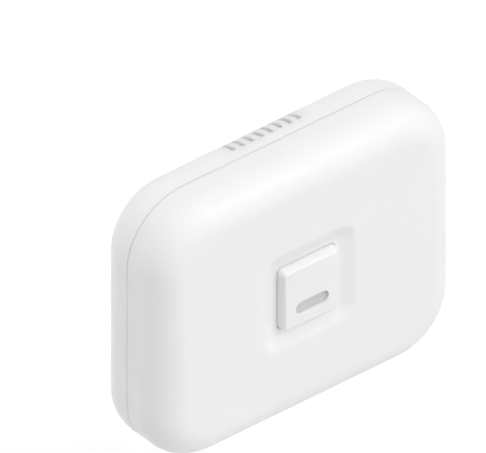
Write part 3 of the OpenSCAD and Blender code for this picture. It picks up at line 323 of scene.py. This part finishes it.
def moulded_plastic(name, colour, shade, rough, grain=0.01 * MM, glow=0.0):
    """Moulded plastic: a colour that drifts a little, uneven gloss and a fine eroded grain."""
    material, tree, shader = new_material(name)
    drift = varied(tree, noise(tree, DRIFT_SCALE), 0, 1)
    low = tuple(c * shade for c in colour)
    tree.links.new(blend(tree, drift, low, colour), shader.inputs["Base Color"])
    gloss = varied(tree, noise(tree, GLOSS_SCALE, 4), rough - 0.04, rough + 0.05)
    tree.links.new(gloss, shader.inputs["Roughness"])
    add_bump(tree, shader, noise(tree, GRAIN_SCALE, 2), grain, 0.4)
    shader.inputs["Subsurface Weight"].default_value = glow
    shader.inputs["Subsurface Radius"].default_value = (1, 1, 1)
    shader.inputs["Subsurface Scale"].default_value = PLASTIC_DEPTH
    return material


def vented_plastic(name, colour, shade, rough, glow):
    """The case's plastic, with a paler colour painted on the side walls of the vents: painted
    light that lifts the shade inside them.
    """
    material = moulded_plastic(name, colour, shade, rough, glow=glow)
    tree = material.node_tree
    shader = next(node for node in tree.nodes if node.type == "BSDF_PRINCIPLED")
    base = shader.inputs["Base Color"].links[0].from_socket
    facing = tree.nodes.new("ShaderNodeNewGeometry").outputs["True Normal"]
    sideways = maths(tree, "GREATER_THAN", maths(tree, "ABSOLUTE", split(tree, facing)[0]), 0.3)
    away = outside_box(tree, VENT_CENTRE, VENT_SIZE)
    # Side walls inside the room round the vents get the paler colour: painted light lifting the
    # shade in the slots
    painted_vent_light = maths(tree, "MULTIPLY", sideways, maths(tree, "SUBTRACT", 1.0, away))
    tree.links.new(blend(tree, painted_vent_light, base, PAINTED_VENT_LIGHT), shader.inputs["Base Color"])
    tree.links.new(spread(tree, away, 0, 1, 1, glow), shader.inputs["Subsurface Weight"])
    reach = spread(tree, away, 0, 1, VENT_WALL_DEPTH, PLASTIC_DEPTH)
    tree.links.new(reach, shader.inputs["Subsurface Scale"])
    return material


def frosted_lens(name):
    """Grey window, cloudy inside and finely frosted on top."""
    material, tree, shader = new_material(name)
    cloud = varied(tree, noise(tree, 500, 4), 0, 1)
    tree.links.new(
        blend(tree, cloud, (0.57, 0.575, 0.58), (0.63, 0.63, 0.63)), shader.inputs["Base Color"]
    )
    shader.inputs["Subsurface Weight"].default_value = 0.05
    shader.inputs["Subsurface Scale"].default_value = 0.6 * MM
    gloss = varied(tree, noise(tree, 900, 3), 0.28, 0.42)
    tree.links.new(gloss, shader.inputs["Roughness"])
    add_bump(tree, shader, noise(tree, FINE_GRAIN_SCALE, 2), 0.008 * MM, 0.5)
    return material


def plated_metal(name, colour, rough, brush=(1, 1, 1)):
    """Plated metal with a drawn grain along one axis and a few duller patches."""
    material, tree, shader = new_material(name)
    dull = spread(tree, noise(tree, 300, 4), 0.35, 0.75, 0, 1)
    dark = tuple(c * 0.82 for c in colour)
    tree.links.new(blend(tree, dull, colour, dark), shader.inputs["Base Color"])
    shader.inputs["Metallic"].default_value = 1
    grain = noise(tree, 1500, 3, 0.6, brush)
    tree.links.new(varied(tree, grain, rough - 0.08, rough + 0.1),
        shader.inputs["Roughness"])
    add_bump(tree, shader, grain, 0.01 * MM, 0.3)
    return material


def part_metal(name, colour, centres, size, rough=0.5):
    """A moulded piece that is coloured inside boxes of one size and bare metal outside them."""
    material, tree, shader = new_material(name)
    bare = 1.0
    for centre in centres:
        bare = maths(tree, "MULTIPLY", outside_box(tree, centre, size), bare)
    drift = varied(tree, noise(tree, 400, 3), 0, 1)
    low = tuple(c * 0.8 for c in colour)
    body = blend(tree, drift, low, colour)
    tree.links.new(blend(tree, bare, body, TINNED), shader.inputs["Base Color"])
    tree.links.new(bare, shader.inputs["Metallic"])
    gloss = varied(tree, noise(tree, 900, 3), rough - 0.05, rough + 0.05)
    shine = spread(tree, bare, 0, 1, 0, -METAL_SHINE)
    tree.links.new(maths(tree, "ADD", gloss, shine), shader.inputs["Roughness"])
    add_bump(tree, shader, noise(tree, FINE_GRAIN_SCALE, 2), 0.01 * MM, 0.4)
    return material


def solder_mask(name, mask, trace, pitch):
    """Lacquered board: fine copper tracks shine through in a slightly lighter tone."""
    material, tree, shader = new_material(name)
    x, _, z = split(tree, object_point(tree))
    lines = []
    for along, across in ((x, z), (z, x)):
        bend = maths(tree, "MULTIPLY", noise(tree, 60, 1), 3 * pitch)
        cell = maths(tree, "FRACT", maths(tree, "DIVIDE", maths(tree, "ADD", along, bend), pitch))
        line = maths(tree, "LESS_THAN", cell, 0.3)
        patch = maths(tree, "GREATER_THAN", noise(tree, 130, 0), 0.5)
        lines.append(maths(tree, "MULTIPLY", line, patch))
    track = maths(tree, "MAXIMUM", lines[0], lines[1])
    tree.links.new(blend(tree, track, mask, trace), shader.inputs["Base Color"])
    gloss = varied(tree, noise(tree, 300, 3), 0.22, 0.34)
    tree.links.new(gloss, shader.inputs["Roughness"])
    add_bump(tree, shader, track, 0.03 * MM, 0.6)
    return material


def cell_sleeve(name, node, side):
    """Battery cell with its positive end to the side: dark sleeve with a pale band near
    that end, bare steel ends."""
    low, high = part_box(node)
    middle = (low[0] + high[0]) / 2
    length = high[0] - low[0]
    plus_end = max(side * low[0], side * high[0])
    material, tree, shader = new_material(name)
    x, _, _ = split(tree, object_point(tree))
    plus = maths(tree, "MULTIPLY", x, side)
    bare = outside_box(tree, (middle, None, None), (length - 2 * CELL_BARE, None, None))
    band = maths(tree, "GREATER_THAN", plus, plus_end - CELL_BAND)
    drift = varied(tree, noise(tree, 200, 3), 0, 1)
    dark = blend(tree, drift, (0.035, 0.04, 0.05), (0.05, 0.055, 0.065))
    pale = blend(tree, drift, (0.42, 0.43, 0.44), (0.48, 0.49, 0.50))
    sleeve = blend(tree, band, dark, pale)
    tree.links.new(blend(tree, bare, sleeve, CELL_STEEL), shader.inputs["Base Color"])
    tree.links.new(bare, shader.inputs["Metallic"])
    gloss = varied(tree, noise(tree, 500, 3), 0.22, 0.32)
    tree.links.new(gloss, shader.inputs["Roughness"])
    add_bump(tree, shader, noise(tree, 900, 2), 0.02 * MM, 0.3)
    return material


def tinted_clear(name, colour, clearness):
    """Tinted resin, a little hazy, that lets through the given share of the light."""
    material, tree, shader = new_material(name)
    haze = varied(tree, noise(tree, 700, 3), 0, 1)
    low = tuple(c * 0.85 for c in colour)
    tree.links.new(blend(tree, haze, low, colour), shader.inputs["Base Color"])
    shader.inputs["Transmission Weight"].default_value = clearness
    gloss = varied(tree, noise(tree, 600, 3), 0.06, 0.14)
    tree.links.new(gloss, shader.inputs["Roughness"])
    return material


def middle_of(node):
    """Middle of a node's box."""
    return tuple((low + high) / 2 for low, high in zip(*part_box(node)))


def dress(material, *names):
    """Gives nodes a material in place of the one that they came with."""
    for name in names:
        nodes[name].data.materials.clear()
        nodes[name].data.materials.append(material)


# Shapes


def near(value, target):
    """Whether a value lies on a packed surface."""
    return abs(value - target) < NEAR


def off_core(x, z, core_x, core_z):
    """A core rectangle's point nearest to x, z, the way from it and the distance."""
    near_x = max(-core_x, min(core_x, x))
    near_z = max(-core_z, min(core_z, z))
    reach = math.hypot(x - near_x, z - near_z)
    way = ((x - near_x) / reach, (z - near_z) / reach) if reach > 0 else (0, 0)
    return (near_x, near_z), way, reach


def grown(point, way, scale, reach):
    """x and z at a new reach from a core that is scaled about its middle."""
    return point[0] * scale + way[0] * reach, point[1] * scale + way[1] * reach


def packed_dish(inset):
    """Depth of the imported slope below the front: two arcs that meet halfway."""
    angle = 2 * math.atan(DISH_DEPTH / DISH_SLOPE_W)
    radius = DISH_SLOPE_W / math.sin(angle) / 2
    if inset > DISH_SLOPE_W / 2:
        return DISH_DEPTH - packed_dish(DISH_SLOPE_W - inset)
    return radius - math.sqrt(radius**2 - inset**2)


def shown_dish(inset):
    """Depth and tilt of a straight slope with a short turn at its top and its foot."""
    tilt = math.atan(DISH_DEPTH / (SHOWN_SLOPE_W - 2 * SHOWN_TURN))
    radius = SHOWN_TURN / math.tan(tilt / 2)
    if inset > SHOWN_SLOPE_W / 2:
        depth, turned = shown_dish(SHOWN_SLOPE_W - inset)
        return DISH_DEPTH - depth, turned
    if inset < radius * math.sin(tilt):
        return radius - math.sqrt(radius**2 - inset**2), math.asin(inset / radius)
    return (inset - SHOWN_TURN) * math.tan(tilt), tilt


def move_front(place):
    """Dish, button hole and rim of the front shell."""
    x, y, z = place
    if near(-y, RIM_DEPTH):
        return (x, -SHOWN_RIM_DEPTH, z), None
    point, way, reach = off_core(x, z, RIM_CORE, RIM_CORE)
    inset = RIM_R - reach
    if 0 < inset < DISH_SLOPE_W + NEAR and near(-y, FRONT_DEPTH - packed_dish(inset)):
        share = min(inset / DISH_SLOPE_W, 1)
        inset = SHOWN_SLOPE_W * share * share * (3 - 2 * share)
        depth, tilt = shown_dish(inset)
        new_x, new_z = grown(point, way, 1, RIM_R - inset)
        normal = Vector((-way[0] * math.sin(tilt), -math.cos(tilt), -way[1] * math.sin(tilt)))
        return (new_x, depth - FRONT_DEPTH, new_z), normal
    point, way, reach = off_core(x, z, BUTTON_CORE, BUTTON_CORE)
    if near(reach, BUTTON_R + BUTTON_GAP) and -y < FRONT_DEPTH - DISH_DEPTH + NEAR:
        scale = SHOWN_BUTTON_CORE / BUTTON_CORE
        new_x, new_z = grown(point, way, scale, SHOWN_BUTTON_R + SHOWN_BUTTON_GAP)
        return (new_x, y, new_z), None
    return (x, y, z), None


def cap_reach(depth, corner_r, edge_r):
    """Reach of the button's wall and rounded edge from its core at a depth."""
    root = FRONT_DEPTH - DISH_DEPTH
    edge = FACE_DEPTH - edge_r + edge_r * math.sin(DRAFT)
    wall = corner_r - max(0, min(depth, edge) - root) * math.tan(DRAFT)
    if depth <= edge:
        return wall
    rise = min(1, (depth - FACE_DEPTH + edge_r) / edge_r)
    return wall - edge_r * (math.cos(DRAFT) - math.sqrt(1 - rise**2))


def shown_depth(depth):
    """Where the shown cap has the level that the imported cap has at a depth."""
    root = FRONT_DEPTH - DISH_DEPTH
    edge = FACE_DEPTH - BUTTON_EDGE_R * (1 - math.sin(DRAFT))
    new_edge = FACE_DEPTH - SHOWN_EDGE_R * (1 - math.sin(DRAFT))
    if depth >= edge:
        return FACE_DEPTH - (FACE_DEPTH - depth) * SHOWN_EDGE_R / BUTTON_EDGE_R
    if depth > root:
        return root + (depth - root) * (new_edge - root) / (edge - root)
    return depth


def move_window(place, reach, new_reach, depth):
    """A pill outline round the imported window, moved to the shown one, or None."""
    x, y, z = place
    point, way, found = off_core(x, z + WINDOW_DROP, WINDOW_CORE, 0)
    if not near(found, reach):
        return None
    new_x, new_z = grown(point, way, SHOWN_WINDOW_CORE / WINDOW_CORE, new_reach)
    return (new_x, -depth, new_z - SHOWN_WINDOW_DROP), None


def move_cap(place):
    """Wall, edge, corners and window of the button."""
    x, y, z = place
    window = move_window(place, WINDOW_R, SHOWN_WINDOW_R, -y)
    if window:
        return window
    point, way, reach = off_core(x, z, BUTTON_CORE, BUTTON_CORE)
    if -y > FLANGE_DEPTH - NEAR and near(reach, cap_reach(-y, BUTTON_R, BUTTON_EDGE_R)):
        depth = shown_depth(-y)
        scale = SHOWN_BUTTON_CORE / BUTTON_CORE
        new_x, new_z = grown(
            point, way, scale, cap_reach(depth, SHOWN_BUTTON_R, SHOWN_EDGE_R)
        )
        return (new_x, -depth, new_z), None
    return (x, y, z), None


def move_lens(place):
    """Face and shoulder of the lens."""
    depth = SHOWN_LENS_DEPTH if near(-place.y, LENS_DEPTH) else -place.y
    face = move_window(place, WINDOW_R - LENS_GAP, SHOWN_WINDOW_R - LENS_GAP, depth)
    shoulder = move_window(place, WINDOW_R + SHOULDER_W, SHOWN_WINDOW_R + SHOULDER_W, depth)
    return face or shoulder or (tuple(place), None)


def reshaped(node, name, body, move):
    """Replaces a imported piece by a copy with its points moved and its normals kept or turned."""
    mesh = nodes[node].data.copy()
    mesh.name = name
    normals = [corner.vector.copy() for corner in mesh.corner_normals]
    turned = {}
    for vertex in mesh.vertices:
        vertex.co, normal = move(vertex.co.copy())
        if normal:
            turned[vertex.index] = normal
    for loop in mesh.loops:
        normals[loop.index] = turned.get(loop.vertex_index, normals[loop.index])
    mesh.normals_split_custom_set(normals)
    piece = bpy.data.objects.new(name, mesh)
    bpy.context.scene.collection.objects.link(piece)
    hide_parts(node)
    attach(piece, body)


# Light


def directional_light(tree):
    """Strength of the soft light as a quadratic of the direction that it comes from."""
    way = tree.nodes.new("ShaderNodeTexCoord").outputs["Generated"]
    x, y, z = split(tree, way)
    total = LIGHT_MEAN - LIGHT_ZZ
    terms = [(lean, axis, None) for lean, axis in zip(LIGHT_LEAN, (x, y, z))]
    terms += [
        (LIGHT_XY, x, y),
        (LIGHT_YZ, y, z),
        (LIGHT_XZ, x, z),
        (LIGHT_XX_YY, x, x),
        (-LIGHT_XX_YY, y, y),
        (3 * LIGHT_ZZ, z, z),
    ]
    for weight, first, second in terms:
        value = first if second is None else maths(tree, "MULTIPLY", first, second)
        total = maths(tree, "ADD", maths(tree, "MULTIPLY", value, weight), total)
    return maths(tree, "MAXIMUM", total, 0.0)


def seen_plainly(tree):
    """1 for rays of the camera, reflections and glass, 0 for the light on the object."""
    path = tree.nodes.new("ShaderNodeLightPath")
    either = maths(
        tree, "MAXIMUM", path.outputs["Is Camera Ray"], path.outputs["Is Glossy Ray"]
    )
    return maths(tree, "MAXIMUM", either, path.outputs["Is Transmission Ray"])


def make_world():
    """White where it is seen, the soft uneven light where it falls on the object."""
    world = bpy.data.worlds.new("world")
    bpy.context.scene.world = world
    world.use_nodes = True
    tree = world.node_tree
    tree.nodes.clear()
    output = tree.nodes.new("ShaderNodeOutputWorld")
    seen = tree.nodes.new("ShaderNodeBackground")
    seen.inputs["Color"].default_value = (1, 1, 1, 1)
    light = tree.nodes.new("ShaderNodeBackground")
    light.inputs["Color"].default_value = (1, 1, 1, 1)
    tree.links.new(directional_light(tree), light.inputs["Strength"])
    mix = tree.nodes.new("ShaderNodeMixShader")
    tree.links.new(seen_plainly(tree), mix.inputs["Fac"])
    tree.links.new(light.outputs[0], mix.inputs[1])
    tree.links.new(seen.outputs[0], mix.inputs[2])
    tree.links.new(mix.outputs[0], output.inputs["Surface"])


def make_key():
    """Soft sun for the bright line along the top edge."""
    data = bpy.data.lights.new("key", "SUN")
    data.energy = KEY_STRENGTH
    data.angle = KEY_ANGLE
    key = bpy.data.objects.new("key", data)
    key.rotation_euler = Vector(KEY_WAY).to_track_quat("Z", "Y").to_euler()
    bpy.context.scene.collection.objects.link(key)


def make_floor():
    """White paper floor, which throws less light back up than it shows."""
    low = cad_box[0][2] - FLOOR_DROP
    mesh = bpy.data.meshes.new("floor")
    corners = [(sx * FLOOR_REACH, sy * FLOOR_REACH, low) for sx, sy in
        ((-1, -1), (1, -1), (1, 1), (-1, 1))]
    mesh.from_pydata(corners, [], [(0, 1, 2, 3)])
    floor = bpy.data.objects.new("floor", mesh)
    bpy.context.scene.collection.objects.link(floor)
    material = bpy.data.materials.new("paper")
    material.use_nodes = True
    tree = material.node_tree
    tree.nodes.clear()
    output = tree.nodes.new("ShaderNodeOutputMaterial")
    diffuse = tree.nodes.new("ShaderNodeBsdfDiffuse")
    fibre = varied(tree, noise(tree, 900, 3), 0, 1)
    bright = blend(tree, fibre, PAPER_LOW, PAPER_HIGH)
    tree.links.new(
        blend(tree, seen_plainly(tree), PAPER_BOUNCE, bright), diffuse.inputs["Color"]
    )
    glow = tree.nodes.new("ShaderNodeEmission")
    plug(tree, maths(tree, "MULTIPLY", seen_plainly(tree), PAPER_GLOW), glow.inputs["Strength"])
    add = tree.nodes.new("ShaderNodeAddShader")
    tree.links.new(diffuse.outputs[0], add.inputs[0])
    tree.links.new(glow.outputs[0], add.inputs[1])
    tree.links.new(add.outputs[0], output.inputs["Surface"])
    mesh.materials.append(material)


bpy.context.scene.view_settings.view_transform = "Standard"
make_camera()
make_world()
make_key()
make_floor()

dress(moulded_plastic("case_white", WHITE, WHITE_DRIFT, 0.33, glow=PLASTIC_GLOW),
    "front_shell", "battery_door")
dress(vented_plastic("case_vented", WHITE, WHITE_DRIFT, 0.33, PLASTIC_GLOW), "rear_shell")
dress(moulded_plastic("button_white", WHITE, WHITE_DRIFT, 0.36, glow=PLASTIC_GLOW), "button_cap")
dress(frosted_lens("window_grey"), "status_lens")
dress(moulded_plastic("black_plastic", (0.035, 0.035, 0.038), 0.8, 0.5, 0.02 * MM),
    "switch_body", "emitter_jack", "ir_receiver")
dress(moulded_plastic("plunger_grey", (0.16, 0.16, 0.17), 0.85, 0.4), "switch_plunger")
dress(moulded_plastic("ferrite", (0.05, 0.048, 0.046), 0.7, 0.65, 0.03 * MM), "power_inductor")
dress(solder_mask("board_green", (0.012, 0.11, 0.05), (0.03, 0.19, 0.09), BOARD_TRACK_PITCH),
    "circuit_board")
dress(solder_mask("module_blue", (0.01, 0.04, 0.16), (0.03, 0.09, 0.26), MODULE_TRACK_PITCH),
    "radio_board")
dress(plated_metal("nickel", TINNED, 0.28), "board_screws", "case_screws",
    "battery_springs", "power_socket", "clock_crystal")
dress(plated_metal("contact_plate", (0.74, 0.73, 0.70), 0.25, (1, 1, 12)),
    "positive_end_contact", "negative_end_contact", "left_link_contact", "right_link_contact")
dress(plated_metal("tinned_can", (0.66, 0.66, 0.66), 0.36, (12, 1, 1)), "radio_shield")
dress(plated_metal("aerial_copper", (0.78, 0.42, 0.22), 0.3), "aerial_wire")
dress(part_metal("chip_black", (0.02, 0.02, 0.022), [middle_of("microcontroller")],
    (CHIP_BODY, None, CHIP_BODY)), "microcontroller")
dress(part_metal("memory_black", (0.02, 0.02, 0.022), [middle_of("memory_chip")],
    (MEMORY_BODY, None, None)), "memory_chip")
dress(part_metal("regulator_black", (0.022, 0.022, 0.024), [middle_of("voltage_regulator")],
    (None, None, REGULATOR_BODY)), "voltage_regulator")
dress(part_metal("sensor_black", (0.03, 0.028, 0.026), [SENSOR_HEAD_CENTRE],
    SENSOR_HEAD, 0.4), "temperature_sensor")
rows_low, rows_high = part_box("chip_parts")
dress(part_metal("chip_part_tan", (0.30, 0.22, 0.15), [
    (rows_low[0] + CHIP_PART_LENGTH / 2, None, None),
    (rows_high[0] - CHIP_PART_LENGTH / 2, None, None),
], (CHIP_PART_BODY, None, None)), "chip_parts")
dress(part_metal("capacitor_sleeve", (0.02, 0.05, 0.14), [(None, SLEEVE_CENTRE, None)],
    (None, SLEEVE_LENGTH, None), 0.3), "storage_capacitors")
dress(tinted_clear("emitter_resin", (0.55, 0.48, 0.72), 0.85), "ir_emitters")
dress(tinted_clear("indicator_resin", (0.92, 0.90, 0.80), 0.35), "status_led")
dress(cell_sleeve("cell_right", "cell_upper", 1), "cell_upper", "cell_lower")
dress(cell_sleeve("cell_left", "cell_middle", -1), "cell_middle")

reshaped("front_shell", "case_front", "case", move_front)
reshaped("button_cap", "button_top", "button", move_cap)
reshaped("status_lens", "button_window", "button", move_lens)
